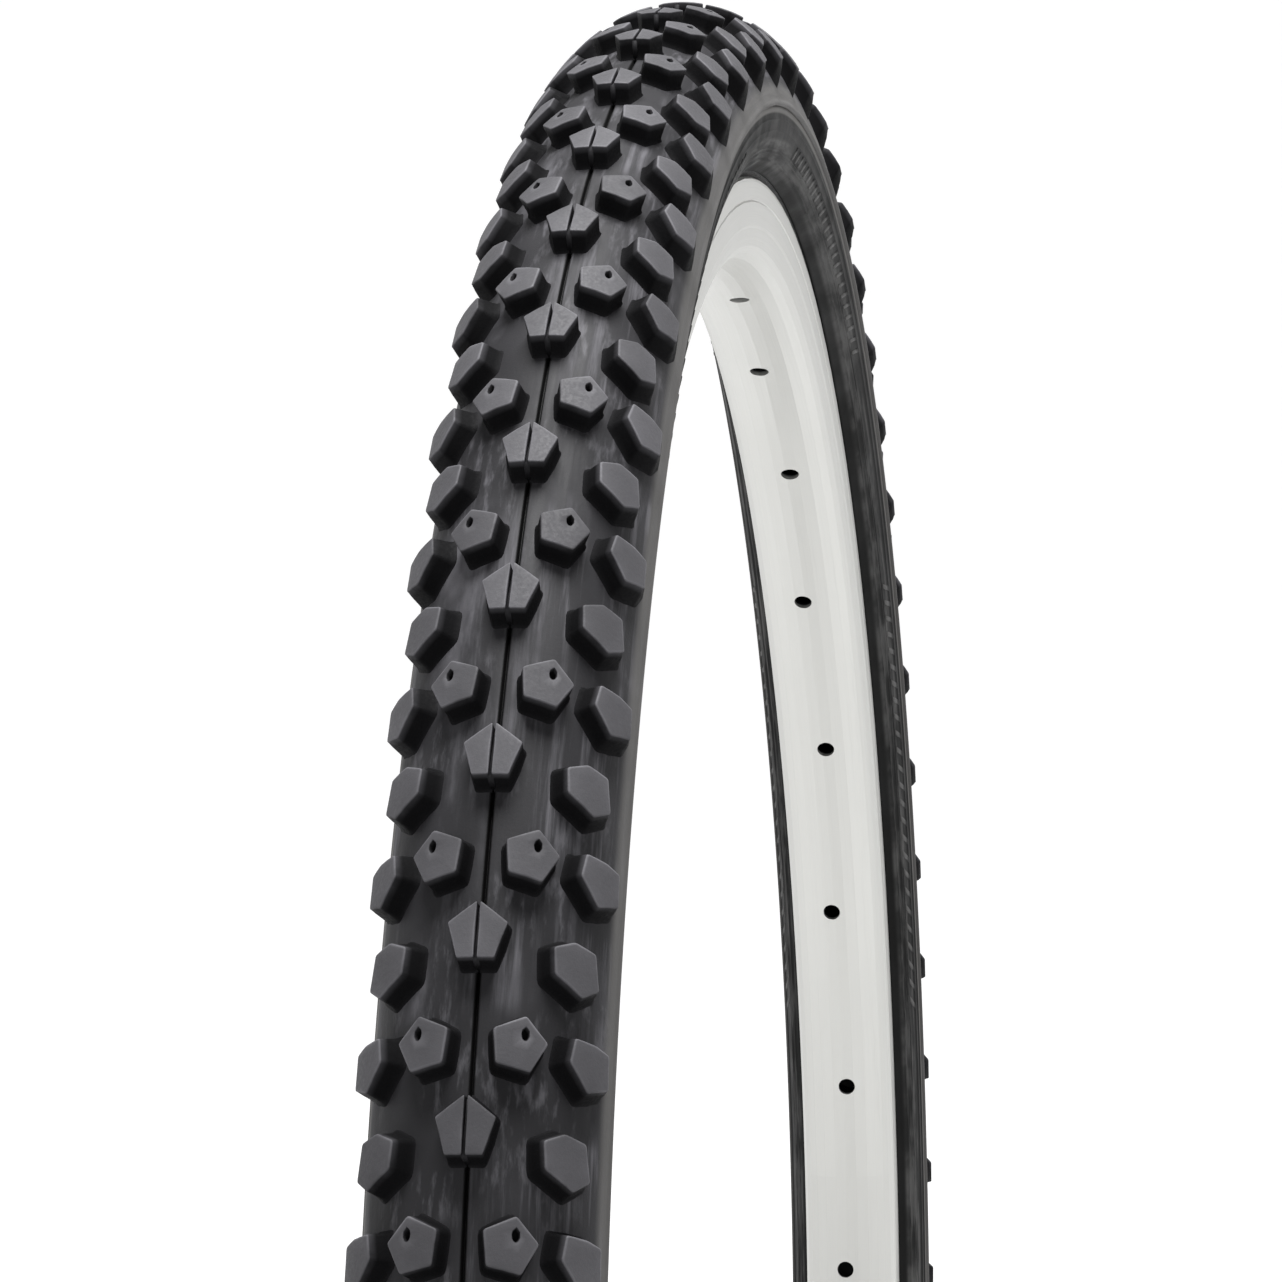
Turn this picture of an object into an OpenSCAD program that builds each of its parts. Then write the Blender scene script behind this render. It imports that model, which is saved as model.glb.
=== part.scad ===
// Bicycle tire, 26 in class with a knobbly tread, on its bare double-wall rim with its inner tube.
// Origin at the wheel's centre, spin axis along Y, +Z up, valve at the bottom pointing to the hub.
// All profiles are drawn as [radius from the wheel axis, offset from the centre plane].

/* [Wheel] */
// Bead seat diameter of the rim and the tire
bead_seat_d = 559; // [507:1:622]
// Height of the middle of the tire's section above the bead seat
section_h = 19.0; // [18.9:0.05:19.1]

/* [Tread] */
// Knob patterns in one turn
pitches = 64; // [60:1:68]
// Angle of the first row, so that the pattern sits against the valve as on the real tire
tread_phase = 1.12; // [0:0.01:5.6]
// Height of the knobs above the tread base in the middle
knob_h = 4.1; // [3:0.1:5]
// Radius across the corners of a centre knob's top
centre_knob_r = 5.1; // [4:0.1:5.4]
// Radius across the corners of a transition knob's top
transition_knob_r = 4.8; // [4:0.1:5.2]
// Slope added around a knob's foot
knob_draft = 0.75; // [0.3:0.05:1]
// Width of the slit in each centre knob
slit_w = 0.7; // [0.4:0.1:1.2]

/* [Casing] */
// Thickness of one casing ply
ply_t = 0.35; // [0.3:0.01:0.35]
// Thickness of the breaker strip under the tread
breaker_t = 0.5; // [0.4:0.05:0.6]
// Radius of one bead wire
bead_wire_r = 0.3; // [0.2:0.02:0.3]
// Wall of the inner tube
tube_t = 0.87; // [0.6:0.01:0.9]

/* [Rim] */
// Spoke holes in one turn
spokes = 32; // [28:4:36]
// Radius of a spoke hole in the inner wall
spoke_hole_r = 2.25; // [2:0.05:2.4]
// Radius of the hole for the nipple tool in the tire bed
access_hole_r = 4.0; // [3:0.1:4.2]
// Sideways stagger of the spoke holes
spoke_stagger = 0.87; // [0:0.01:0.9]
// Radius of the valve hole
valve_hole_r = 4.25; // [4.2:0.05:4.5]

/* [Valve] */
// Length of the brass stem
stem_l = 37.5; // [36:0.5:42]
// Radius over the valve thread
thread_r = 3.85; // [3.7:0.01:3.85]
// Pitch of the valve thread
thread_p = 0.794; // [0.7:0.001:0.85]
// Outer radius of the cap
cap_r = 4.9; // [4.7:0.1:5.5]
// Turns in the core spring
spring_turns = 9; // [6:1:10]

/* [Hidden] */
$fn = 180;
seat = bead_seat_d / 2;
sec_r = seat + section_h;          // radius to the middle of the tire's section
ply_r = 16.3;                      // casing's inside, from the middle of the section
casing_r = ply_r + 2 * ply_t;      // casing's outside
base_r = 18.8;                     // tread base
wrap_r = 0.95 + 2 * ply_t;         // turn of the plies around a bead
bead_y = 7.65;
bead_d = ply_r + wrap_r;           // from the middle of the section to the bead
bead_x = sec_r - sqrt(bead_d * bead_d - bead_y * bead_y);
bead_a = acos((bead_x - sec_r) / bead_d);
pitch_a = 360 / pitches;
pitch_l = 31.55;                   // one pitch at the knob tops, the unit of the knob outlines
top_r = base_r + knob_h;
side_top_r = top_r - 0.2;
tip_z = -(seat + 1.5) + stem_l;    // outer end of the valve stem
hole_start = 30;                   // turn of the valve hole's edge, clear of the chamber's

// A point of the section: r from the section's middle, a from the crown
function sec(r, a) = [sec_r + r * cos(a), r * sin(a)];
function back(v) = [for (i = [len(v) - 1:-1:0]) v[i]];
function flip(v) = [for (p = v) [p[0], -p[1]]];
// One arc of the section at radius r
function arc(r, a0, a1) = [for (a = [a0:4:a1]) sec(r, a)];
// Turn of the plies around one bead, at a distance off outside the inner ply's inner face
wrap_a = [for (g = [bead_a - 180:-18:-263]) g];
function wrap(off, g) = [bead_x + (wrap_r - off) * cos(g), bead_y + (wrap_r - off) * sin(g)];
// A ply's path from the crown around one bead
function ply_path(off) = concat(arc(ply_r + off, 0, 152), [for (g = wrap_a) wrap(off, g)],
    [wrap(off, -270), [seat + 3.9, bead_y + wrap_r - off]]);

// Both halves of a closed profile whose half runs from the centre plane to the centre plane
module both(half) { polygon(concat(half, back(flip(half)))); }
// Turns a profile about the wheel axis
module turn() { rotate([-90, 0, 0]) rotate_extrude() children(); }
// Moves a feature drawn along +X to the angle a around the wheel
module at(a) { rotate([0, -a, 0]) children(); }

// ---- Rim ----
rim_outside = [
    [seat - 2.5, 0], [seat - 2.5, 5.2], [seat - 2, 5.35], [seat, 5.6], [seat, 10.0],
    [seat + 0.7, 10.5], [seat + 2.7, 10.5], [seat + 3.5, 9.9], [seat + 4.1, 9.75],
    [seat + 4.7, 9.9], [seat + 5, 10.4], [seat + 5, 11.7], [seat + 4.6, 12.3],
    [seat + 3.9, 12.5], [seat + 0.15, 12.5], [seat - 0.1, 12.2], [seat - 0.35, 12.5],
    [seat - 5.3, 12.5], [seat - 5.9, 12.25], [seat - 7.7, 12.0], [seat - 9.6, 11.4],
    [seat - 11.2, 10.2], [seat - 12.3, 8.3], [seat - 13.1, 5.8], [seat - 13.6, 2.8],
    [seat - 13.75, 0]];
rim_chamber = [
    [seat - 4, 0], [seat - 4, 5.6], [seat - 1.8, 6.6], [seat - 1.6, 10.7], [seat - 5.5, 10.9],
    [seat - 8.3, 10.4], [seat - 10.5, 8.6], [seat - 11.7, 5], [seat - 12, 0]];

// The chamber and every hole that opens into it, cut from the rim in one go
module rim_hollows() {
    turn() both(rim_chamber);
    for (k = [0:spokes - 1]) at((k + 0.5) * 360 / spokes)
        translate([0, (k % 2 == 0 ? -1 : 1) * spoke_stagger, 0]) rotate([0, 90, 0]) {
            translate([0, 0, seat - 16]) cylinder(r = spoke_hole_r, h = 7.5);
            translate([0, 0, seat - 5.5]) cylinder(r = access_hole_r, h = 4);
        }
    translate([0, 0, -seat]) rotate(hole_start) cylinder(r = valve_hole_r, h = 16);
}
module rim() {
    color([0.82, 0.83, 0.82]) difference() {
        turn() both(rim_outside);
        union() rim_hollows();
    }
}

// Hollow sleeve that joins the two ends of the rolled rim, opposite the valve
module rim_joint_sleeve() {
    s = 4.2;
    color([0.62, 0.63, 0.64]) rotate([-90, 0, 0]) rotate_extrude(angle = 2 * s, start = 270 - s)
        difference() {
            both([[seat - 4.15, 0], [seat - 4.15, 5.5], [seat - 2, 6.6], [seat - 1.8, 10.5],
                [seat - 5.5, 10.75], [seat - 8.2, 10.25], [seat - 10.35, 8.5],
                [seat - 11.55, 5], [seat - 11.85, 0]]);
            both([[seat - 5.4, 0], [seat - 5.4, 7.5], [seat - 5.8, 9.4], [seat - 7.6, 9.2],
                [seat - 9.4, 7.6], [seat - 10.4, 4.5], [seat - 10.6, 0]]);
        }
}

// Strip that covers the holes of the tire bed
module rim_strip() {
    color([0.16, 0.16, 0.17]) difference() {
        turn() both([[seat - 2.5, 0], [seat - 2.5, 5.05], [seat - 1.9, 5.05], [seat - 1.8, 0]]);
        translate([0, 0, -seat]) cylinder(r = 4.15, h = 6);
    }
}

// ---- Tire ----
// Seven turns of steel wire in one bead
module bead_wires(side) {
    s = 2 * bead_wire_r + 0.02;
    color([0.55, 0.5, 0.4]) turn() {
        translate([bead_x, side * bead_y]) circle(r = bead_wire_r, $fn = 24);
        for (a = [0:60:300]) translate([bead_x + s * cos(a), side * bead_y + s * sin(a)])
            circle(r = bead_wire_r, $fn = 24);
    }
}

// A ply between two distances outside the casing's inner face
module ply(a, b) {
    inner = ply_path(a);
    outer = ply_path(b);
    turn() polygon(concat(inner, back(outer), [for (i = [1:len(outer) - 1]) flip(outer)[i]],
        [for (i = [len(inner) - 1:-1:1]) flip(inner)[i]]));
}
module casing_inner_ply() { color([0.42, 0.36, 0.26]) ply(0, ply_t); }
module casing_outer_ply() { color([0.5, 0.43, 0.31]) ply(ply_t, 2 * ply_t); }

// Strip between the casing and the tread, against punctures
module breaker_strip() {
    color([0.35, 0.3, 0.12]) turn()
        both(concat(arc(casing_r, 0, 40), back(arc(casing_r + breaker_t, 0, 40))));
}

// Rubbered cloth around one bead, where it rubs on the rim
module chafer(side) {
    half = concat(
        [[bead_x + 0.2, 5.7], [seat + 0.25, 5.75], [seat + 0.05, 6], [seat + 0.05, 9.2],
        [seat + 0.5, 9.6], [seat + 3.8, 9.6]],
        [for (a = [146:-2:136]) sec(casing_r + 0.3, a)],
        [for (a = [136:2:146]) sec(casing_r, a)],
        [[seat + 3.9, bead_y + wrap_r], wrap(0, -270)],
        [for (g = back(wrap_a)) if (g < -70) wrap(0, g)]);
    color([0.09, 0.09, 0.1]) turn() polygon(side > 0 ? half : back(flip(half)));
}

// Rubber of one side wall, with the two moulded fitting lines above the rim
module sidewall(side) {
    half = concat(
        arc(casing_r, 88, 132),
        [sec(18.0, 132), sec(18.5, 128), sec(18.7, 125.4), sec(19.0, 124.8), sec(19.0, 124),
        sec(18.7, 123.4), sec(18.7, 119.6), sec(19.0, 119), sec(19.0, 118.4), sec(18.7, 117.8)],
        [for (a = [116:-4:92]) sec(18.7, a)],
        [sec(18.8, 88)]);
    color([0.13, 0.13, 0.14]) turn() polygon(side > 0 ? half : back(flip(half)));
}

// Tread rubber from one edge line to the other, with the narrow groove along its middle
module tread_band() {
    half = concat(
        arc(casing_r + breaker_t, 0, 40),
        arc(casing_r, 40, 88),
        [sec(19.5, 88), sec(19.6, 86), sec(19.3, 84)],
        [for (a = [80:-4:64]) sec(18.8 + (a - 60) * 0.02, a)],
        [for (a = [60:-4:4]) sec(base_r, a)],
        [sec(base_r, 1.2), sec(base_r - 0.35, 0.6), sec(base_r - 0.35, 0)]);
    color([0.15, 0.15, 0.16]) turn() both(half);
}

// ---- Knobs: outlines as [distance along the tread, distance across it] at the knob tops ----
function ngon(c, r, a0, sx = 1) =
    [for (i = [0:4]) [c[0] + sx * r * cos(a0 + 72 * i), c[1] + r * sin(a0 + 72 * i)]];
function mid(v) = [for (k = [0:1]) (max([for (p = v) p[k]]) + min([for (p = v) p[k]])) / 2];
// The outline moved out all round by d, from its middle
function grown(v, d) = let (c = mid(v))
    [for (p = v) let (q = p - c) c + q * (1 + d / norm(q))];
// A tread point in space: s along, t across, r from the section's middle
function tread_pt(s, t, r, side, row) =
    let (a = t / top_r * 180 / PI, q = sec(r, a), w = tread_phase + (row + s / pitch_l) * pitch_a)
    [q[0] * cos(w), side * q[1], q[0] * sin(w)];
// Faces of a block whose n foot points come first and n top points second
function block_faces(n) = concat(
    [for (i = [1:n - 2]) [0, i, i + 1]],
    [for (i = [1:n - 2]) [n, n + i + 1, n + i]],
    [for (i = [0:n - 1]) each [[i, n + (i + 1) % n, (i + 1) % n], [i, n + i, n + (i + 1) % n]]]);
// One knob for each pitch: outline, foot outline, radius of its top and of its foot
module knob_row(top, foot, r1, r0, side) {
    n = len(top);
    f = block_faces(n);
    pts = [for (k = [0:pitches - 1]) each concat(
        [for (p = foot) tread_pt(p[0], p[1], r0, side, k)],
        [for (p = top) tread_pt(p[0], p[1], r1, side, k)])];
    polyhedron(points = pts, faces = [for (k = [0:pitches - 1]) each
        [for (t = f) side > 0 ? [t[2] + 2 * n * k, t[1] + 2 * n * k, t[0] + 2 * n * k]
            : [t[0] + 2 * n * k, t[1] + 2 * n * k, t[2] + 2 * n * k]]]);
}

// Five-sided knobs along the middle, apex against the pattern's direction, each as two halves
// on either side of its slit
module centre_knobs() {
    p = ngon([-4.17, 0], centre_knob_r, 180, 1.06);
    g = grown(p, knob_draft);
    w = slit_w / 2;
    color([0.2, 0.2, 0.21]) for (side = [-1, 1])
        knob_row(
            [[p[0][0] + 0.3, w], [p[4][0], abs(p[4][1])], [p[3][0], abs(p[3][1])], [p[3][0], w]],
            [[g[0][0] + 0.3, w], [g[4][0], abs(g[4][1])], [g[3][0], abs(g[3][1])], [g[3][0], w]],
            top_r, base_r - 0.2, side);
}

// Five-sided knobs on both sides of the middle row, half a pitch from it
module transition_knobs() {
    p = ngon([13.9, 7.75], transition_knob_r, 96.5);
    color([0.2, 0.2, 0.21]) for (side = [-1, 1])
        knob_row(p, grown(p, knob_draft), top_r - 0.1, base_r - 0.25, side);
}

// Outlines of the two shoulder knobs of each pitch, the inner one first
inner_top = [[-2.9, 12.5], [-4.5, 16.2], [-3.5, 20.4], [2.6, 21.5], [4.6, 18.1], [1.6, 12.9]];
inner_foot = [[-3.5, 11.3], [-5.4, 16.0], [-4.2, 23.4], [2.6, 24.6], [5.6, 18.6], [2.2, 11.7]];
outer_top = [[11.3, 17.2], [11.6, 21.5], [12.5, 24.7], [18.4, 24.9], [19.9, 20.1], [15.4, 16.4]];
outer_foot = [[10.5, 15.9], [10.8, 25.0], [15.0, 31.5], [19.0, 28.0], [20.9, 20.6], [15.9, 14.9]];
module shoulder_knobs(side) {
    color([0.19, 0.19, 0.2]) {
        knob_row(inner_top, inner_foot, side_top_r, base_r - 0.35, side);
        knob_row(outer_top, outer_foot, side_top_r, base_r - 0.25, side);
    }
}

// ---- Inner tube ----
module inner_tube() {
    d = tube_t;
    color([0.1, 0.1, 0.1]) difference() {
        turn() both(concat(
            arc(16.22, 0, 148),
            [[seat + 4.5, 7.2], [seat + 4.15, 6.3], [seat + 2.95, 5.6], [seat + 0.5, 5.5],
            [seat - 0.9, 5.2], [seat - 1.5, 4.6], [seat - 1.65, 3.5], [seat - 1.65, 0]]));
        turn() both(concat(
            arc(16.22 - d, 0, 144),
            [[seat + 5.4, 7.2], [seat + 4.8, 5.9], [seat + 3.6, 4.9], [seat + 2.5, 4.7],
            [seat + 0.7, 4.6], [seat - 0.3, 4.35], [seat - 1.65 + d, 3.9], [seat - 1.65 + d, 0]]));
        translate([0, 0, -seat - 2]) cylinder(r = 4.05, h = 6);
    }
}

// ---- Valve, along Z at the bottom of the wheel ----
foot_z = -(seat - 1.65 + tube_t);  // inside face of the tube under the valve
// Rubber over the brass stem, with its foot bonded inside the tube
module valve_jacket() {
    color([0.12, 0.12, 0.12]) difference() {
        union() {
            intersection() {
                turn() both([[-foot_z, 0], [-foot_z, 3.7], [seat + 0.5, 3.7], [seat + 0.5, 0]]);
                hull() for (x = [-8.5, 8.5]) translate([x, 0, -seat - 2])
                    cylinder(r = 3.7, h = 6, $fn = 32);
            }
            translate([0, 0, -seat - 0.5]) cylinder(r = 4, h = stem_l - 13);
            translate([0, 0, tip_z - 12]) cylinder(r1 = 4, r2 = 3.7, h = 1);
        }
        translate([0, 0, -seat - 2]) cylinder(r = 3.2, h = 60);
    }
}

module valve_stem() {
    z0 = -seat - 1.5;
    n = 12;
    color([0.72, 0.6, 0.33]) difference() {
        rotate_extrude() polygon(concat(
            [[0, z0], [4.3, z0], [4.3, z0 + 0.6], [3.8, z0 + 0.95], [3.2, z0 + 0.95],
            [3.2, tip_z - 10.9], [3.5, tip_z - 10.6]],
            [for (i = [0:n - 1]) each [[3.5, tip_z - 10.3 + i * thread_p],
                [thread_r, tip_z - 10.05 + i * thread_p], [thread_r, tip_z - 9.85 + i * thread_p]]],
            [[3.5, tip_z - 0.6], [3.35, tip_z], [0, tip_z]]));
        translate([0, 0, z0 - 1]) cylinder(r = 1.95, h = stem_l);
        translate([0, 0, tip_z - 7.7]) cylinder(r1 = 1.95, r2 = 2.65, h = 1.2);
        translate([0, 0, tip_z - 6.5]) cylinder(r = 2.65, h = 8);
    }
}

// Threaded head of the core, with the tang for its key
module core_plug() {
    color([0.78, 0.67, 0.4]) difference() {
        union() {
            translate([0, 0, tip_z - 5.1]) cylinder(r = 2.55, h = 2.8);
            translate([0, 0, tip_z - 5.7]) cylinder(r1 = 2.1, r2 = 2.55, h = 0.6);
            intersection() {
                translate([0, 0, tip_z - 2.3]) cylinder(r = 2.5, h = 1.9);
                translate([-3, -0.95, tip_z - 2.3]) cube([6, 1.9, 1.9]);
            }
        }
        translate([0, 0, tip_z - 7]) cylinder(r = 0.7, h = 8);
    }
}

module core_barrel() {
    color([0.75, 0.64, 0.37]) difference() {
        union() {
            translate([0, 0, tip_z - 14.5]) cylinder(r = 1.6, h = 8.8);
            translate([0, 0, tip_z - 6.7]) cylinder(r = 1.85, h = 1);
        }
        translate([0, 0, tip_z - 13.7]) cylinder(r = 1.2, h = 8.5);
        translate([0, 0, tip_z - 15]) cylinder(r = 0.7, h = 2);
    }
}

// Tapered ring that seals the barrel in the stem's cone
module core_gasket() {
    color([0.75, 0.2, 0.15]) difference() {
        union() {
            translate([0, 0, tip_z - 8.9]) cylinder(r = 1.9, h = 1.2);
            translate([0, 0, tip_z - 7.7]) cylinder(r1 = 1.9, r2 = 2.3, h = 0.9);
        }
        translate([0, 0, tip_z - 9]) cylinder(r = 1.6, h = 3);
    }
}

module core_pin() {
    color([0.8, 0.7, 0.45]) {
        translate([0, 0, tip_z - 18.5]) cylinder(r = 0.5, h = 18);
        translate([0, 0, tip_z - 7.7]) cylinder(r = 1.05, h = 0.5);
        translate([0, 0, tip_z - 15.9]) cylinder(r = 1.4, h = 0.5);
    }
}

module core_cup() {
    color([0.1, 0.1, 0.1]) translate([0, 0, tip_z - 15.4]) difference() {
        cylinder(r = 1.5, h = 0.85);
        translate([0, 0, -1]) cylinder(r = 0.5, h = 3);
    }
}

// Coil between the pin's collar and the barrel's end, six sides and twelve rings to a turn
module core_spring() {
    w = 0.12;
    r = 0.88;
    n = 12 * spring_turns;
    z0 = tip_z - 13.55;
    h = 5.7;
    pts = [for (i = [0:n]) let (a = 30 * i, z = z0 + h * i / n) for (j = [0:5])
        let (c = r + w * cos(60 * j)) [c * cos(a), c * sin(a), z + w * sin(60 * j)]];
    color([0.7, 0.7, 0.72]) polyhedron(points = pts, faces = concat(
        [for (j = [1:4]) [0, j, j + 1]],
        [for (j = [1:4]) [6 * n, 6 * n + j + 1, 6 * n + j]],
        [for (i = [0:n - 1]) for (j = [0:5]) let (a = 6 * i + j, b = 6 * i + (j + 1) % 6)
            each [[a, a + 6, b + 6], [a, b + 6, b]]]));
}

// Ribbed dust cap
module valve_cap() {
    z0 = tip_z - 9.2;
    color([0.11, 0.11, 0.12]) difference() {
        union() {
            translate([0, 0, z0]) cylinder(r = cap_r, h = 9.8);
            translate([0, 0, z0 + 9.8]) cylinder(r1 = cap_r, r2 = cap_r - 0.9, h = 1.7);
        }
        translate([0, 0, z0 - 1]) cylinder(r = 3.98, h = 11.4);
        for (a = [0:30:330]) rotate([0, 0, a]) translate([cap_r + 0.55, 0, z0 - 1])
            cylinder(r = 0.9, h = 9.6, $fn = 24);
    }
}

module cap_seal() {
    color([0.3, 0.3, 0.3]) translate([0, 0, tip_z + 0.35]) cylinder(r = 3.7, h = 0.8);
}

rim();
rim_joint_sleeve();
rim_strip();
bead_wires(1);  // bead_wires_left
bead_wires(-1);  // bead_wires_right
casing_inner_ply();
casing_outer_ply();
breaker_strip();
chafer(1);  // chafer_left
chafer(-1);  // chafer_right
sidewall(1);  // sidewall_left
sidewall(-1);  // sidewall_right
tread_band();
centre_knobs();
transition_knobs();
shoulder_knobs(1);  // shoulder_knobs_left
shoulder_knobs(-1);  // shoulder_knobs_right
inner_tube();
valve_jacket();
valve_stem();
core_plug();
core_barrel();
core_gasket();
core_pin();
core_cup();
core_spring();
valve_cap();
cap_seal();
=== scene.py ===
"""Looks of the bicycle tire on its rim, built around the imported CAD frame.

The wheel turns about Y, and the valve is at the bottom. A point of the tire's section is given by r, its
distance from the middle of the section, and a, its angle from the crown. The tire's shapes are worked out in
millimetres and turned into metres in new_piece. Materials, the floor and the lights are in metres.
"""
import math
import random

import bpy
import numpy as np
from mathutils import Matrix, Vector


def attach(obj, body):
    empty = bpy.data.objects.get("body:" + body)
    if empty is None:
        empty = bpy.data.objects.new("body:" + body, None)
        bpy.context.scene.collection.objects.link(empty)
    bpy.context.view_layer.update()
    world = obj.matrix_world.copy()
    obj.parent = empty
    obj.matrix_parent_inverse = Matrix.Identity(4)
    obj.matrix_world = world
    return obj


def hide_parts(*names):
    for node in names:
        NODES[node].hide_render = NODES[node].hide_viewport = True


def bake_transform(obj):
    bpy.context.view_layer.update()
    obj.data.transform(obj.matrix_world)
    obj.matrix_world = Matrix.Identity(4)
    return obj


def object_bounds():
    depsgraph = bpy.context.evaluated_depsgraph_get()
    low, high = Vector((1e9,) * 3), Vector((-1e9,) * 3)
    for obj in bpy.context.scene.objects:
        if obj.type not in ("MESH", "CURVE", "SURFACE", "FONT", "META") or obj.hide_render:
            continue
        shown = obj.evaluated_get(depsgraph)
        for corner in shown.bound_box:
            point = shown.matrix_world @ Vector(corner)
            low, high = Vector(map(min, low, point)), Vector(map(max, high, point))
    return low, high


MM = 0.001
BODY = "tire_on_rim"
PITCHES = 64
PITCH_A = 2 * math.pi / PITCHES
PHASE = math.radians(1.12)  # turn of the first row of knobs from +X
PITCH_L = 31.55  # one pitch at the knob tops
AROUND = 448  # steps around the wheel in the turned pieces
RIM_TO_SECTION = 14.0  # from the rim's edge out to the middle of the tire's section

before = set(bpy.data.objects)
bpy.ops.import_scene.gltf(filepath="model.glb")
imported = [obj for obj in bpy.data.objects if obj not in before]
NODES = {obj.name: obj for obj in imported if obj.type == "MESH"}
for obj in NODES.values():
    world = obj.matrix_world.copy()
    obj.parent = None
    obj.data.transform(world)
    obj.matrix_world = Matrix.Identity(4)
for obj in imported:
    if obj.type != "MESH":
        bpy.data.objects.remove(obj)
cad_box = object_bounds()


def widest(node):
    """Largest radius from the wheel's axis of a CAD node, in mm."""
    co = np.array([v.co for v in NODES[node].data.vertices], float)
    return float(np.hypot(co[:, 0], co[:, 2]).max()) / MM


RIM_R = widest("rim")
SEC_R = RIM_R + RIM_TO_SECTION  # radius to the middle of the tire's section
BASE_R = widest("tread_band") - SEC_R
TOP_R = widest("centre_knobs") - SEC_R
PIN_TOP_R = TOP_R - 0.1
SIDE_TOP_R = TOP_R - 0.2
WALL_R = 18.7  # the side wall's plain surface
FLOOR_Z = cad_box[0][2]


# ---- Camera ----
CAM_AT_MM = (-935.23, -127.16, 309.94)
CAM_AZIMUTH = 0.1487
CAM_DOWN = 0.13009
CAM_ROLL = -0.03285
CAM_LENS_MM = 124.985
CAM_SENSOR_MM = 36
CAM_REACH = 200


def aim(azimuth, down, roll):
    """Camera matrix columns from its heading, its tilt down and its roll."""
    level = math.cos(down)
    back = -Vector((math.cos(azimuth) * level, math.sin(azimuth) * level, -math.sin(down)))
    right = (-back).cross(Vector((0, 0, 1))).normalized()
    up = back.cross(right)
    turned_right = math.cos(roll) * right + math.sin(roll) * up
    turned_up = math.cos(roll) * up - math.sin(roll) * right
    return Matrix((turned_right, turned_up, back)).transposed()


def make_camera():
    data = bpy.data.cameras.new("view_camera")
    data.sensor_width = CAM_SENSOR_MM
    data.lens = CAM_LENS_MM
    data.clip_end = CAM_REACH
    camera = bpy.data.objects.new("view_camera", data)
    place = aim(CAM_AZIMUTH, CAM_DOWN, CAM_ROLL).to_4x4()
    place.translation = Vector(CAM_AT_MM) * MM
    camera.matrix_world = place
    bpy.context.scene.collection.objects.link(camera)
    bpy.context.scene.camera = camera


# ---- Material helpers ----
def node(tree, kind, **settings):
    made = tree.nodes.new(kind)
    for key, value in settings.items():
        setattr(made, key, value)
    return made


def feed(tree, socket, value):
    """Sets a socket to a value, or links it to an output."""
    if isinstance(value, bpy.types.NodeSocket):
        tree.links.new(value, socket)
    elif isinstance(value, tuple) and len(value) == 3 and socket.type == "RGBA":
        socket.default_value = (*value, 1)
    else:
        socket.default_value = value


def grey(value, warm=0.0):
    """A grey, moved towards orange by warm."""
    return (value * (1 + warm), value, value * (1 - warm))


def silver(value):
    """Anodised alloy's grey, a little short of blue."""
    return (value, value, value * 0.965)


def rubber(value):
    """Black rubber's grey, a little towards violet."""
    return (value, value * 0.98, value * 1.07)


def maths(tree, how, one, two=0.0, clamp=False):
    made = node(tree, "ShaderNodeMath", operation=how, use_clamp=clamp)
    feed(tree, made.inputs[0], one)
    feed(tree, made.inputs[1], two)
    return made.outputs[0]


def mixed(tree, share, one, two):
    """A colour between two, by a share from 0 to 1."""
    made = node(tree, "ShaderNodeMix", data_type="RGBA")
    feed(tree, made.inputs[0], share)
    feed(tree, made.inputs[6], one)
    feed(tree, made.inputs[7], two)
    return made.outputs[2]


def between(tree, value, low, high, to_low=0.0, to_high=1.0):
    """The value carried from one range to another, with soft ends."""
    made = node(tree, "ShaderNodeMapRange", interpolation_type="SMOOTHSTEP")
    for place, number in enumerate((value, low, high, to_low, to_high)):
        feed(tree, made.inputs[place], number)
    return made.outputs[0]


def attribute(tree, name):
    return node(tree, "ShaderNodeAttribute", attribute_name=name).outputs["Fac"]


def place_of(tree, stretch=(1, 1, 1)):
    """The point on the object, stretched along its axes."""
    where = node(tree, "ShaderNodeTexCoord").outputs["Object"]
    scaled = node(tree, "ShaderNodeVectorMath", operation="MULTIPLY")
    feed(tree, scaled.inputs[0], where)
    scaled.inputs[1].default_value = stretch
    return scaled.outputs[0]


def around_wheel(tree, along, across):
    """A point scaled by along around the wheel and by across over it, with the point's radius and y."""
    split = node(tree, "ShaderNodeSeparateXYZ")
    feed(tree, split.inputs[0], place_of(tree))
    x, y, z = split.outputs
    squares = maths(tree, "ADD", maths(tree, "MULTIPLY", x, x), maths(tree, "MULTIPLY", z, z))
    radius = maths(tree, "SQRT", squares)
    out = node(tree, "ShaderNodeCombineXYZ")
    feed(tree, out.inputs[0], maths(tree, "MULTIPLY", maths(tree, "DIVIDE", x, radius), along))
    feed(tree, out.inputs[1], maths(tree, "MULTIPLY", maths(tree, "DIVIDE", z, radius), along))
    over = maths(tree, "ADD", maths(tree, "MULTIPLY", radius, 1.37), y)
    feed(tree, out.inputs[2], maths(tree, "MULTIPLY", over, across))
    return out.outputs[0], radius, y


def noise(tree, where, scale, detail=3.0, rough=0.55):
    made = node(tree, "ShaderNodeTexNoise")
    feed(tree, made.inputs["Vector"], where)
    made.inputs["Scale"].default_value = scale
    made.inputs["Detail"].default_value = detail
    made.inputs["Roughness"].default_value = rough
    return made.outputs[0]


def bumped(tree, height, depth_mm, strength=1.0, under=None):
    made = node(tree, "ShaderNodeBump")
    made.inputs["Strength"].default_value = strength
    made.inputs["Distance"].default_value = depth_mm * MM
    feed(tree, made.inputs["Height"], height)
    if under is not None:
        feed(tree, made.inputs["Normal"], under)
    return made.outputs[0]


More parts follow.
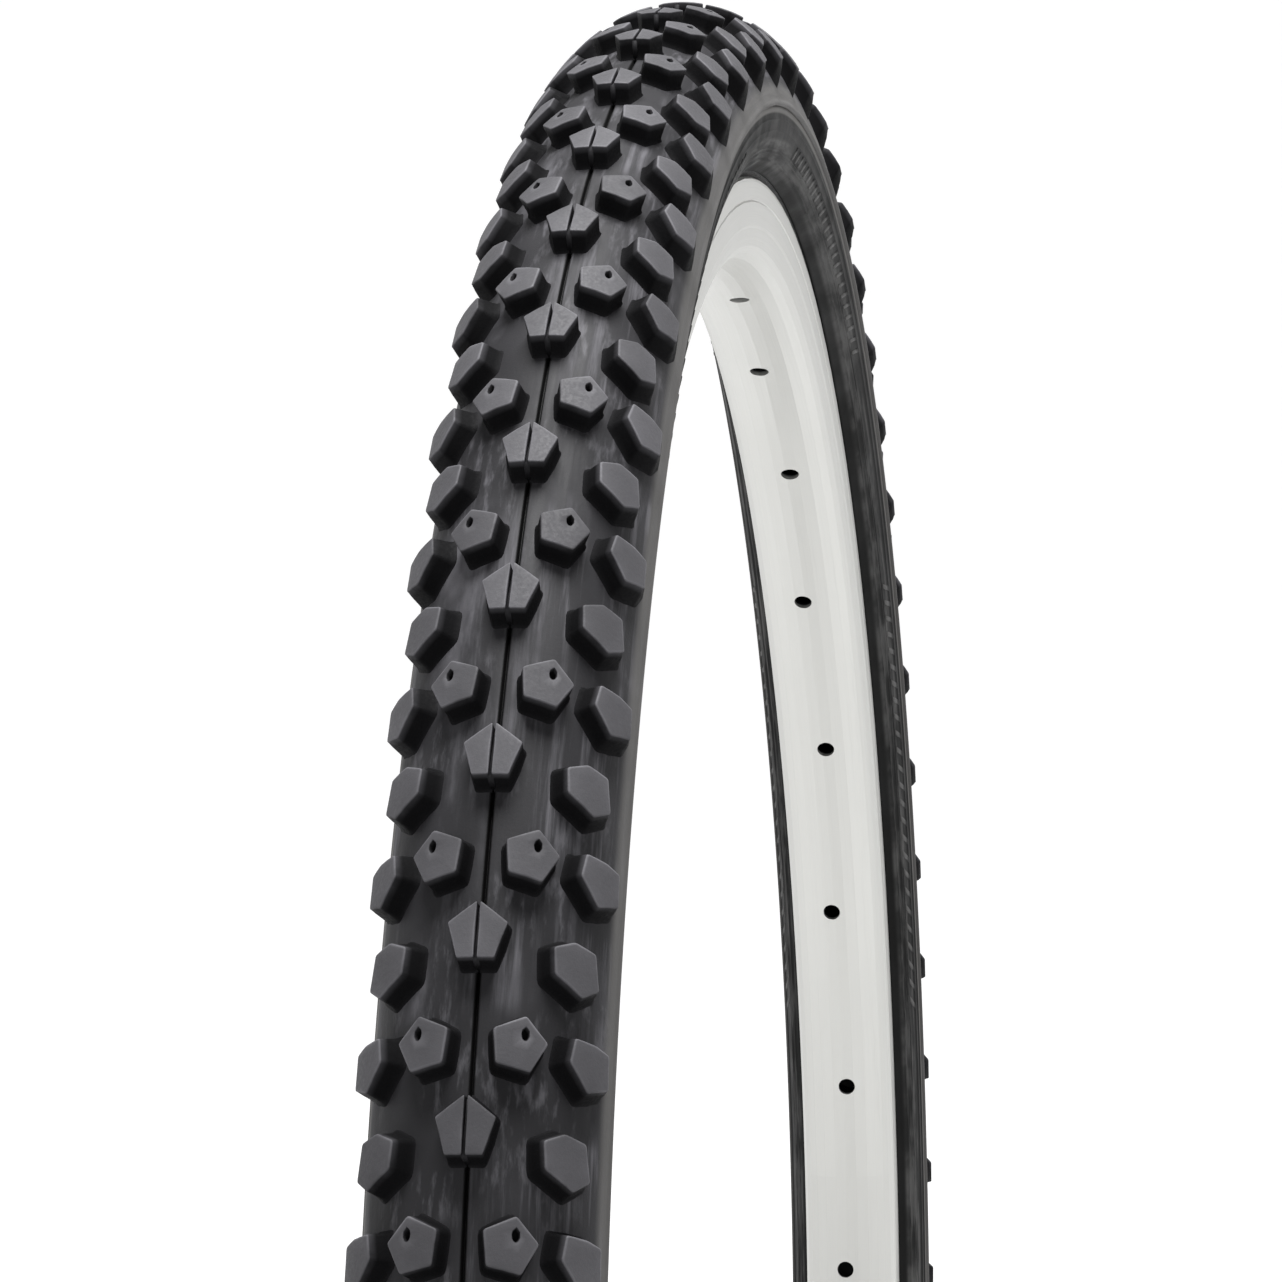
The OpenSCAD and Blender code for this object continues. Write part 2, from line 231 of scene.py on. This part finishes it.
def finish_of(name, metal=0.0, shine=0.5, sheen=0.0):
    """A new material with its node tree and its surface shader."""
    made = bpy.data.materials.new(name)
    made.use_nodes = True
    surface = made.node_tree.nodes["Principled BSDF"]
    surface.inputs["Metallic"].default_value = metal
    surface.inputs["Specular IOR Level"].default_value = shine
    surface.inputs["Sheen Weight"].default_value = sheen
    return made, made.node_tree, surface


def dress(tree, surface, colour, rough, normal):
    feed(tree, surface.inputs["Base Color"], colour)
    feed(tree, surface.inputs["Roughness"], rough)
    feed(tree, surface.inputs["Normal"], normal)


# ---- Materials ----
def knob_look():
    """Knob rubber: flanks painted near black as painted shade, scuffed grey tops painted lighter, and paler
    worn edges.
    """
    made, tree, surface = finish_of("knob_rubber")
    where = place_of(tree)
    cloud = noise(tree, where, 90, 4)
    grain = noise(tree, where, 1500, 5, 0.65)
    top = attribute(tree, "top")
    edge = attribute(tree, "edge")
    tint = attribute(tree, "tint")
    # Painted shade and light: where top is 0 (flanks, pin holes, slit floors) the colour is near black for
    # shade, and the tops are scuffed and painted lighter
    painted_shade_flank = mixed(tree, cloud, rubber(0.003), rubber(0.008))
    scuffed_and_lit_top = mixed(tree, cloud, rubber(0.034), rubber(0.076))
    varied = mixed(tree, maths(tree, "MULTIPLY", tint, 0.5), scuffed_and_lit_top, rubber(0.034))
    colour = mixed(tree, top, painted_shade_flank, varied)
    worn = maths(tree, "MULTIPLY", edge, between(tree, cloud, 0.3, 0.62))
    colour = mixed(tree, maths(tree, "MULTIPLY", worn, 0.4), colour, rubber(0.17))
    rough = between(tree, grain, 0.2, 0.8, 0.52, 0.78)
    feed(tree, surface.inputs["Specular IOR Level"], between(tree, top, 0, 1, 0.03, 0.2))
    dress(tree, surface, colour, rough, bumped(tree, grain, 0.08, 0.7))
    return made


def band_look():
    """Tread base: charcoal with pale scuff streaks around the wheel and painted shade in the middle groove."""
    made, tree, surface = finish_of("tread_rubber", shine=0.1)
    where, _, y = around_wheel(tree, 9, 330)
    streak = noise(tree, where, 1.0, 5, 0.6)
    cloud = noise(tree, place_of(tree), 38, 3)
    grain = noise(tree, place_of(tree), 1300, 5, 0.65)
    base = mixed(tree, cloud, rubber(0.014), rubber(0.031))
    share = maths(tree, "MULTIPLY", between(tree, streak, 0.46, 0.72), between(tree, cloud, 0.4, 0.58))
    slanted = noise(tree, place_of(tree, (150, 620, 150)), 1.0, 4, 0.6)
    patch = noise(tree, place_of(tree), 55, 2)
    rub = maths(tree, "MULTIPLY", between(tree, slanted, 0.48, 0.75), between(tree, patch, 0.45, 0.62))
    colour = mixed(tree, maths(tree, "MULTIPLY", share, 0.8), base, rubber(0.12))
    colour = mixed(tree, maths(tree, "MULTIPLY", rub, 0.8), colour, rubber(0.09))
    from_middle = maths(tree, "ABSOLUTE", y)
    groove = between(tree, from_middle, 0.3 * MM, 0.7 * MM, 1, 0)
    # Painted shade: near black along the middle groove
    colour = mixed(tree, groove, colour, grey(0.002))
    wall = between(tree, from_middle, 17.9 * MM, 18.8 * MM)
    colour = mixed(tree, maths(tree, "MULTIPLY", wall, 0.7), colour, grey(0.09, 0.03))
    rough = between(tree, streak, 0.3, 0.8, 0.5, 0.72)
    dress(tree, surface, colour, rough, bumped(tree, grain, 0.06, 0.6))
    return made


def sidewall_look():
    """Side wall rubber: pale smooth edge, a dark band of painted shade below it, mottled grey towards the rim,
    and painted shadow where it meets the rim.
    """
    made, tree, surface = finish_of("sidewall_rubber", shine=0.1)
    where, radius, _ = around_wheel(tree, 14, 420)
    cloud = noise(tree, place_of(tree), 60, 4)
    streak = noise(tree, where, 1.0, 4, 0.6)
    grain = noise(tree, place_of(tree), 1400, 4, 0.6)
    dark = mixed(tree, cloud, grey(0.007), grey(0.016))
    pale = mixed(tree, cloud, grey(0.085, 0.03), grey(0.15, 0.03))
    upper = between(tree, radius, (SEC_R - 1.0) * MM, (SEC_R - 0.4) * MM)
    lower = between(tree, radius, (SEC_R - 6.4) * MM, (SEC_R - 5.4) * MM, 1, 0)
    mottled = mixed(tree, between(tree, streak, 0.4, 0.66), dark, grey(0.06, 0.01))
    mottled = mixed(tree, maths(tree, "MULTIPLY", attribute(tree, "top"), 0.8), mottled, grey(0.1, 0.01))
    # Painted shade: between the lower mask and the pale edge the wall keeps the plain dark colour, for the
    # shade past its widest point
    colour = mixed(tree, lower, dark, mottled)
    colour = mixed(tree, upper, colour, pale)
    # Painted shadow: near black in the gap where the side wall meets the rim
    rim_gap_shadow = between(tree, radius, (SEC_R - 11.8) * MM, (SEC_R - 11.0) * MM, 1, 0)
    colour = mixed(tree, rim_gap_shadow, colour, grey(0.006))
    rough = between(tree, cloud, 0.3, 0.7, 0.55, 0.75)
    dress(tree, surface, colour, rough, bumped(tree, grain, 0.05, 0.6))
    return made


def alloy_look(name, shade, rough_low, rough_high):
    """Silver anodised alloy, with fine turning lines around the wheel and painted shade inside its holes."""
    made, tree, surface = finish_of(name, metal=0.85)
    where, radius, y = around_wheel(tree, 5, 5200)
    lines = noise(tree, where, 1.0, 3, 0.6)
    cloud = noise(tree, place_of(tree), 26, 3)
    colour = mixed(tree, cloud, silver(shade * 0.95), silver(shade))
    colour = mixed(tree, maths(tree, "MULTIPLY", between(tree, lines, 0.55, 0.8), 0.12), colour, grey(0.35))
    # Painted shade: near black inside the holes, where shade falls
    deep = between(tree, radius, (RIM_R - 18.1) * MM, (RIM_R - 17.3) * MM)
    near_middle = between(tree, maths(tree, "ABSOLUTE", y), 4.2 * MM, 5.2 * MM, 1, 0)
    colour = mixed(tree, maths(tree, "MULTIPLY", deep, near_middle), colour, grey(0.012))
    rough = between(tree, maths(tree, "ADD", lines, cloud), 0.6, 1.3, rough_low, rough_high)
    dress(tree, surface, colour, rough, bumped(tree, lines, 0.012, 0.35))
    return made


def metal_look(name, colour, rough):
    """Turned or drawn metal with a slight tarnish."""
    made, tree, surface = finish_of(name, metal=1.0)
    cloud = noise(tree, place_of(tree), 260, 3)
    grain = noise(tree, place_of(tree, (1, 1, 4)), 900, 3)
    dull = tuple(c * 0.6 for c in colour)
    dress(tree, surface, mixed(tree, cloud, dull, colour),
          between(tree, grain, 0.3, 0.7, rough * 0.8, rough * 1.4), bumped(tree, grain, 0.01, 0.5))
    return made


def cloth_look(name, colour, threads):
    """Rubbered cloth: slanting bands of thread, with uneven depth."""
    made, tree, surface = finish_of(name, shine=0.3, sheen=0.15)
    where, _, _ = around_wheel(tree, 1.0, 1.0)
    slanted = node(tree, "ShaderNodeTexWave", wave_type="BANDS", bands_direction="DIAGONAL")
    feed(tree, slanted.inputs["Vector"], where)
    slanted.inputs["Scale"].default_value = threads
    slanted.inputs["Distortion"].default_value = 0.4
    cloud = noise(tree, place_of(tree), 150, 3)
    weave = maths(tree, "MULTIPLY", slanted.outputs["Fac"], maths(tree, "ADD", cloud, 0.5))
    dark = tuple(c * 0.55 for c in colour)
    dress(tree, surface, mixed(tree, weave, dark, colour), between(tree, weave, 0, 1, 0.6, 0.85),
          bumped(tree, weave, 0.1, 0.6))
    return made


def moulded_look(name, shade, rough, warm=0.0):
    """Moulded rubber or plastic with a fine grain and faint handling marks."""
    made, tree, surface = finish_of(name, shine=0.4)
    cloud = noise(tree, place_of(tree), 120, 4)
    grain = noise(tree, place_of(tree), 1600, 4, 0.6)
    colour = mixed(tree, cloud, grey(shade * 0.7, warm), grey(shade * 1.3, warm))
    dress(tree, surface, colour, between(tree, cloud, 0.3, 0.7, rough * 0.85, rough * 1.15),
          bumped(tree, grain, 0.04, 0.6))
    return made


def floor_look():
    """Pale floor with some light of its own, so that it reads as a white background."""
    made, tree, surface = finish_of("pale_floor", shine=0.2)
    cloud = noise(tree, place_of(tree), 1.5, 2)
    surface.inputs["Roughness"].default_value = 0.9
    surface.inputs["Emission Color"].default_value = (1, 1, 1, 1)
    surface.inputs["Emission Strength"].default_value = 0.77
    feed(tree, surface.inputs["Base Color"], mixed(tree, cloud, grey(0.36), grey(0.38)))
    return made


# ---- Mesh helpers ----
def section(r, a):
    """[radius from the wheel's axis, offset along Y] of points of the section, in mm."""
    return np.stack([SEC_R + r * np.cos(a), r * np.sin(a)], axis=-1)


def new_piece(name, points_mm, faces, look, node_names, marks=None):
    """A mesh piece that rides on the wheel, with number attributes for its material."""
    mesh = bpy.data.meshes.new(name)
    mesh.from_pydata((np.asarray(points_mm) * MM).tolist(), [], faces)
    for key, values in (marks or {}).items():
        layer = mesh.attributes.new(key, "FLOAT", "POINT")
        layer.data.foreach_set("value", np.asarray(values, np.float32))
    mesh.polygons.foreach_set("use_smooth", [True] * len(mesh.polygons))
    mesh.update()
    piece = bpy.data.objects.new(name, mesh)
    bpy.context.scene.collection.objects.link(piece)
    piece.data.materials.append(look)
    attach(piece, BODY)
    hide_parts(*node_names)


def turned(profile):
    """Points and faces of a closed profile of [radius, y] points turned about the wheel's axis."""
    profile = np.asarray(profile, float)
    w = np.arange(AROUND) * 2 * math.pi / AROUND
    r, y = profile[:, 0], profile[:, 1]
    points = np.stack([np.outer(np.cos(w), r), np.outer(np.ones(AROUND), y), np.outer(np.sin(w), r)], axis=-1)
    count = len(profile)
    faces = []
    for i in range(AROUND):
        here = i * count
        there = (i + 1) % AROUND * count
        for j in range(count):
            k = (j + 1) % count
            faces.append((here + j, here + k, there + k, there + j))
    return points.reshape(-1, 3), faces


def tread_points(s, t, r, side, row):
    """Points of the tread in space: s along it and t across it at the knob tops, r from the middle."""
    a = t / TOP_R
    radius = SEC_R + r * np.cos(a)
    w = PHASE + (row + s / PITCH_L) * PITCH_A
    return np.stack([radius * np.cos(w), side * r * np.sin(a), radius * np.sin(w)], axis=-1)


def rounded(outline, reach):
    """The outline with each corner as three points and each edge with one more in its middle."""
    outline = np.asarray(outline, float)
    out = []
    for i, corner in enumerate(outline):
        before = outline[i - 1] - corner
        after = outline[(i + 1) % len(outline)] - corner
        near = min(reach, 0.4 * np.linalg.norm(before), 0.4 * np.linalg.norm(after))
        start = corner + before / np.linalg.norm(before) * near
        end = corner + after / np.linalg.norm(after) * near
        out += [start, 0.25 * start + 0.5 * corner + 0.25 * end, end, corner + after / 2]
    return np.array(out)


def inset(ring, middle, by):
    """The ring moved towards its middle by a distance, or outwards if it is negative."""
    away = ring - middle
    return ring - away / np.linalg.norm(away, axis=1, keepdims=True) * by


class KnobRows:
    """Gathers the knobs of one CAD node into a single mesh."""

    def __init__(self, seed):
        self.points = []
        self.faces = []
        self.top = []
        self.edge = []
        self.tint = []
        self.count = 0
        self.random = random.Random(seed)

    def add_rings(self, rings, side, row, tint):
        """Adds one closed block. A ring is (points [s, t], r, top, edge); the ends close to one point."""
        start = self.count
        size = len(rings[0][0])
        for outline, r, top, edge in rings:
            self.points.append(tread_points(outline[:, 0], outline[:, 1], r, side, row))
            self.top += [top] * size
            self.edge += [edge] * size
        for outline, r in ((rings[0][0], rings[0][1]), (rings[-1][0], rings[-1][1])):
            middle = outline.mean(axis=0, keepdims=True)
            self.points.append(tread_points(middle[:, 0], middle[:, 1], np.mean(r), side, row))
        self.top += [rings[0][2], rings[-1][2]]
        self.edge += [rings[0][3], rings[-1][3]]
        total = size * len(rings) + 2
        self.tint += [tint] * total
        first = start + total - 2
        last = start + total - 1
        faces = []
        for j in range(size):
            k = (j + 1) % size
            faces.append((first, start + k, start + j))
            for i in range(len(rings) - 1):
                here = start + i * size
                faces.append((here + j, here + k, here + size + k, here + size + j))
            foot = start + (len(rings) - 1) * size
            faces.append((last, foot + j, foot + k))
        if side > 0:
            faces = [tuple(reversed(f)) for f in faces]
        self.faces += faces
        self.count += total

    def piece(self, name, look, slot, *nodes):
        marks = {"top": self.top, "edge": self.edge, "tint": self.tint}
        points = np.concatenate(self.points)
        new_piece(name, points, self.faces, look, nodes, marks)


def knob_rings(top, foot, r1, middle=None, corner=0.4, round_over=0.28):
    """Rings of one knob from the middle of its top, over its rounded edge and down to its flared foot."""
    upper = rounded(top, corner)
    lower = rounded(foot, corner * 2.2)
    centre = upper.mean(axis=0) if middle is None else np.asarray(middle, float)
    foot_middle = lower.mean(axis=0)
    # The third value of a ring, top, is 1 on the knob's top and 0 down its flanks; the material paints the
    # flanks near black as painted shade and the tops lighter
    rings = [
        (centre + (upper - centre) * 0.45, r1, 1.0, 0.0),
        (inset(upper, centre, round_over * 1.9), r1, 1.0, 0.15),
        (inset(upper, centre, round_over), r1 - 0.015, 1.0, 0.8),
        (inset(upper, centre, round_over * 0.32), r1 - round_over * 0.28, 0.75, 1.0),
        (upper, r1 - round_over, 0.12, 0.45)]
    drop = r1 - round_over - BASE_R
    for share, flare in ((0.3, 0.0), (0.7, 0.0), (0.9, 0.12)):
        ring = upper + (lower - upper) * share
        rings.append((inset(ring, foot_middle, -flare), BASE_R + drop * (1 - share), 0.0, 0.0))
    rings.append((inset(lower, foot_middle, -0.5), BASE_R + 0.02, 0.1, 0.0))
    rings.append((inset(lower, foot_middle, -0.6), BASE_R - 0.35, 0.1, 0.0))
    return rings


def with_pin_hole(rings, middle, r1):
    """Adds a small moulded hole at the middle of a knob's top."""
    outer = rings[0][0] - middle
    way = outer / np.linalg.norm(outer, axis=1, keepdims=True)
    oval = way * np.array([1.05, 0.62])
    # The hole's inner rings have top 0, so the material paints them with the flanks' painted shade
    hole = [
        (middle + oval * 0.45, r1 - 1.25, 0.0, 0.0),
        (middle + oval * 0.85, r1 - 1.1, 0.0, 0.0),
        (middle + oval, r1 - 0.12, 0.0, 0.2),
        (middle + oval * 1.22, r1, 0.9, 0.5)]
    return hole + rings


# ---- The tire's pieces ----
def five_sided(centre, r, first, stretch=1.0):
    """Corners of a regular five-sided knob, the first of them at an angle in degrees."""
    turn = math.radians(first) + np.arange(5) * 2 * math.pi / 5
    return np.stack([centre[0] + stretch * r * np.cos(turn), centre[1] + r * np.sin(turn)], axis=-1)


def grown(outline, by):
    """The outline moved outwards by a distance."""
    middle = (outline.max(axis=0) + outline.min(axis=0)) / 2
    return inset(outline, middle, -by)


FLARE = 0.75  # how far a knob's foot reaches past its top
SLIT = 0.27  # from the middle of a centre knob to either wall of its slit


def half_knob(whole):
    """Corners of one half of a five-sided knob: by its apex, out at its side, and two on its base."""
    side_corner = [whole[4][0], abs(whole[4][1])]
    base_corner = [whole[3][0], abs(whole[3][1])]
    return [[whole[0][0] + 0.3, SLIT], side_corner, base_corner, [whole[3][0], SLIT]]


def centre_row(look):
    """Middle knobs, each as two halves beside a slit that is deep at the apex and shallow at the base."""
    rows = KnobRows(11)
    whole = five_sided((-4.17, 0), 5.1, 180, 1.06)
    half = half_knob(whole)
    half_foot = half_knob(grown(whole, FLARE))
    for row in range(PITCHES):
        tint = rows.random.random()
        for side in (-1, 1):
            rings = knob_rings(half, half_foot, TOP_R, corner=0.28, round_over=0.24)
            rows.add_rings(rings, side, row, tint)
        floor_of_slit(rows, whole[0][0], whole[3][0], row, tint)
    rows.piece("tread_centre_knobs", look, "knob_rubber", "centre_knobs")


def floor_of_slit(rows, apex, base, row, tint):
    """Fills the foot of a slit, rising from the apex to the base edge."""
    start = apex + 0.5
    end = base + 0.72
    t = np.array([-1, -1, 1, 1]) * (SLIT + 0.25)
    upper = np.stack([np.array([start, base, base, start]), t], axis=-1)
    lower = np.stack([np.array([start, end, end, start]), t], axis=-1)
    deep = TOP_R - 2.3
    shallow = TOP_R - 0.5
    heights = np.array([deep, shallow, shallow, deep])
    sunk = np.full(4, BASE_R - 0.2)
    # The slit's floor has little or no top, so the material gives it the flanks' painted shade
    rows.add_rings([(upper, heights, 0.3, 0.0), (lower, sunk, 0.0, 0.0)], 1, row, tint)


def transition_rows(look):
    """Five-sided knobs with a pin hole, on both sides of the middle row."""
    rows = KnobRows(12)
    top = five_sided((13.9, 7.75), 4.8, 96.5)
    foot = grown(top, FLARE)
    pin = np.array([12.2, 8.7])
    for row in range(PITCHES):
        for side in (-1, 1):
            rings = knob_rings(top, foot, PIN_TOP_R, middle=pin)
            rows.add_rings(with_pin_hole(rings, pin, PIN_TOP_R), side, row, rows.random.random())
    rows.piece("tread_transition_knobs", look, "knob_rubber", "transition_knobs")


# Corners [s, t] of the two shoulder knobs in a pitch, at their tops and at their feet.
INNER_TOP = [[-2.9, 12.5], [-4.5, 16.2], [-3.5, 20.4], [2.6, 21.5], [4.6, 18.1], [1.6, 12.9]]
INNER_FOOT = [[-3.5, 11.3], [-5.4, 16.0], [-4.2, 23.4], [2.6, 24.6], [5.6, 18.6], [2.2, 11.7]]
OUTER_TOP = [[11.3, 17.2], [11.6, 21.5], [12.5, 24.7], [18.4, 24.9], [19.9, 20.1], [15.4, 16.4]]
OUTER_FOOT = [[10.5, 15.9], [10.8, 25.0], [15.0, 31.5], [19.0, 28.0], [20.9, 20.6], [15.9, 14.9]]


def shoulder_rows(look, side, word):
    rows = KnobRows(13 + side)
    for row in range(PITCHES):
        for top, foot in ((INNER_TOP, INNER_FOOT), (OUTER_TOP, OUTER_FOOT)):
            rings = knob_rings(top, foot, SIDE_TOP_R)
            rows.add_rings(rings, side, row, rows.random.random())
    rows.piece(f"tread_shoulder_knobs_{word}", look, "knob_rubber", f"shoulder_knobs_{word}")


def band_profile():
    """Half of the tread band's outer line, from the middle groove to the edge line."""
    groove = [(0.0, -1.0), (0.35, -0.9), (0.8, -0.35), (1.15, -0.06), (1.7, 0.0)]
    edge = [(82, 0.44), (83.5, 0.5), (84.6, 0.62), (85.4, 0.78), (86.2, 0.82), (87, 0.8), (87.7, 0.72)]
    half = [section(BASE_R + off, math.radians(a)) for a, off in groove]
    for a in np.arange(4, 61, 2.0):
        half.append(section(BASE_R, math.radians(a)))
    for a in np.arange(62, 81, 2.0):
        half.append(section(BASE_R + (a - 60) * 0.02, math.radians(a)))
    for a, off in edge:
        half.append(section(BASE_R + off, math.radians(a)))
    return np.array(half)


def mirrored(half):
    """The half's mirror image, back to front, without the middle point that both have."""
    flipped = half[::-1] * np.array([1, -1])
    return flipped[:-1]


def tread_base(look):
    outer = band_profile()
    inner = section(17.5, np.radians(np.arange(88, -89, -8.0)))
    profile = np.concatenate([mirrored(outer), outer, inner])
    points, faces = turned(profile)
    new_piece("tread_base", points, faces, look, ["tread_band"])


def sidewall_profile():
    """Closed line of one side wall, from the tread's edge to the rim, with raised rings."""
    marks = [(88.2, 18.85), (90, 18.8), (92, 18.72), (94, 18.7), (95.6, 18.7), (95.9, 18.86), (96.9, 18.86),
             (97.2, 18.7), (100, 18.7), (103, 18.7), (103.3, 18.82), (104.1, 18.82), (104.4, 18.7), (108, 18.7),
             (112, 18.7), (115.4, 18.7), (115.7, 18.82), (116.4, 18.82), (116.7, 18.7), (117.8, 18.7),
             (118.3, 18.96), (118.7, 19.0), (119.1, 18.96), (119.6, 18.7), (122, 18.7), (123.4, 18.7),
             (123.9, 18.96), (124.4, 19.0), (124.9, 18.96), (125.4, 18.7), (127, 18.6), (129, 18.42),
             (130.6, 18.25), (132, 18.05), (134, 17.92), (136, 17.85), (136.6, 17.6)]
    outer = [section(r, math.radians(a)) for a, r in marks]
    inner = [section(17.0, math.radians(a)) for a in np.arange(136, 87, -8.0)]
    return np.array(outer + inner)


def side_wall(look, side, word):
    profile = sidewall_profile() * np.array([1, side])
    points, faces = turned(profile)
    if side > 0:
        faces = [tuple(reversed(f)) for f in faces]
    new_piece(f"sidewall_rubber_{word}", points, faces, look, [f"sidewall_{word}"])


def rib_panels(look, side, word):
    """Raised slanted bars in panels around the side wall, in place of lettering."""
    panels = 8
    bars = 25
    bar_step = math.radians(1.1)
    points = []
    faces = []
    for panel in range(panels):
        for bar in range(bars):
            w = (panel + 0.5) * 2 * math.pi / panels + (bar - bars / 2) * bar_step
            add_bar(points, faces, w, side)
    marks = {"top": [0, 0, 0, 0, 1, 1, 1, 1] * (panels * bars)}
    new_piece(f"sidewall_ribs_{word}", np.array(points), faces, look, [], marks)


def add_bar(points, faces, w, side):
    """One bar with a flat top and sloping sides, slanted across the side wall."""
    start = len(points)
    half_width = 0.8
    slant = 1.7
    ends = (math.radians(105.4), math.radians(114.4))
    top_spread = 0.75
    for lift, spread in ((-0.1, 1.5), (0.26, top_spread)):
        for end, way in zip(ends, (-1, 1)):
            for edge in (-1, 1):
                a = end + way * math.radians(0.7 * (spread - top_spread))
                radius, y = section(WALL_R + lift, a)
                turn = w + (way * slant + edge * half_width * spread) / radius
                points.append((radius * math.cos(turn), side * y, radius * math.sin(turn)))
    quads = [(4, 5, 7, 6), (0, 2, 3, 1), (0, 1, 5, 4), (2, 6, 7, 3), (0, 4, 6, 2), (1, 3, 7, 5)]
    for quad in quads:
        shifted = tuple(start + q for q in quad)
        faces.append(shifted if side < 0 else tuple(reversed(shifted)))


# ---- Materials of the CAD nodes that are shown as they are ----
def dress_cad(looks):
    for name, look in looks.items():
        node_object = NODES[name]
        node_object.data.materials.clear()
        node_object.data.materials.append(look)


def cad_looks():
    """The material of each CAD node whose own mesh is shown."""
    chafer = cloth_look("chafer_cloth", grey(0.02), 900)
    casing = cloth_look("casing_cloth", (0.24, 0.18, 0.1), 1400)
    steel = metal_look("bead_steel", (0.62, 0.52, 0.34), 0.3)
    brass = metal_look("valve_brass", (0.72, 0.55, 0.26), 0.28)
    core = metal_look("core_brass", (0.76, 0.6, 0.32), 0.25)
    tube = moulded_look("tube_rubber", 0.02, 0.55)
    jacket = moulded_look("jacket_rubber", 0.02, 0.5)
    return {
        "rim": alloy_look("rim_alloy", 0.54, 0.34, 0.46),
        "rim_joint_sleeve": alloy_look("sleeve_alloy", 0.6, 0.4, 0.55),
        "rim_strip": moulded_look("rim_strip", 0.03, 0.6),
        "bead_wires_left": steel, "bead_wires_right": steel,
        "casing_inner_ply": casing, "casing_outer_ply": casing,
        "breaker_strip": cloth_look("breaker_cloth", (0.3, 0.22, 0.05), 1000),
        "chafer_left": chafer, "chafer_right": chafer,
        "inner_tube": tube, "valve_jacket": jacket, "valve_stem": brass,
        "core_plug": core, "core_barrel": core, "core_pin": core,
        "core_gasket": moulded_look("gasket_plastic", 0.3, 0.45, 0.6),
        "core_cup": moulded_look("seal_rubber", 0.015, 0.6),
        "cap_seal": moulded_look("cap_washer", 0.05, 0.6),
        "core_spring": metal_look("spring_steel", (0.7, 0.7, 0.72), 0.22),
        "valve_cap": moulded_look("cap_plastic", 0.018, 0.42)}


def bending_spring():
    """A copy of the valve's spring, shown in place of the CAD node's mesh."""
    mesh = NODES["core_spring"].data.copy()
    mesh.name = "valve_spring"
    spring = bpy.data.objects.new("valve_spring", mesh)
    spring.matrix_world = NODES["core_spring"].matrix_world
    bpy.context.scene.collection.objects.link(spring)
    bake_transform(spring)
    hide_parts("core_spring")


# ---- Studio ----
def make_floor():
    """A round floor that curves up into a wall on every side."""
    steps = 96
    line = [(4.5, 0.0), (5.2, 0.06), (5.8, 0.25), (6.3, 0.6), (6.65, 1.1), (6.85, 1.7), (6.9, 2.4), (6.9, 4.5)]
    points = []
    for radius, rise in line:
        for i in range(steps):
            w = i * 2 * math.pi / steps
            points.append((radius * math.cos(w), radius * math.sin(w), FLOOR_Z + rise))
    faces = [tuple(range(steps))]
    for ring in range(len(line) - 1):
        here = ring * steps
        for i in range(steps):
            j = (i + 1) % steps
            faces.append((here + i, here + steps + i, here + steps + j, here + j))
    mesh = bpy.data.meshes.new("studio_floor")
    mesh.from_pydata(points, [], faces)
    mesh.polygons.foreach_set("use_smooth", [True] * len(mesh.polygons))
    floor = bpy.data.objects.new("studio_floor", mesh)
    bpy.context.scene.collection.objects.link(floor)
    floor.data.materials.append(floor_look())


def soft_light(name, at, target, size, watts):
    data = bpy.data.lights.new(name, "AREA")
    data.shape = "DISK"
    data.size = size
    data.energy = watts
    lamp = bpy.data.objects.new(name, data)
    lamp.location = at
    lamp.rotation_euler = (Vector(target) - Vector(at)).to_track_quat("-Z", "Y").to_euler()
    bpy.context.scene.collection.objects.link(lamp)


def make_studio():
    world = bpy.data.worlds.new("studio")
    world.use_nodes = True
    back = world.node_tree.nodes["Background"]
    back.inputs[0].default_value = (1, 1, 1, 1)
    back.inputs[1].default_value = 0.2
    bpy.context.scene.world = world
    soft_light("top_softbox", (0.0, -0.1, 1.7), (0, 0, 0.2), 1.1, 70)
    bpy.context.scene.view_settings.view_transform = "Standard"


def build():
    make_camera()
    knobs = knob_look()
    band = band_look()
    walls = sidewall_look()
    tread_base(band)
    centre_row(knobs)
    transition_rows(knobs)
    for side, word in ((1, "left"), (-1, "right")):
        shoulder_rows(knobs, side, word)
        side_wall(walls, side, word)
        rib_panels(walls, side, word)
    dress_cad(cad_looks())
    bending_spring()
    make_floor()
    make_studio()


build()
bpy.context.view_layer.update()
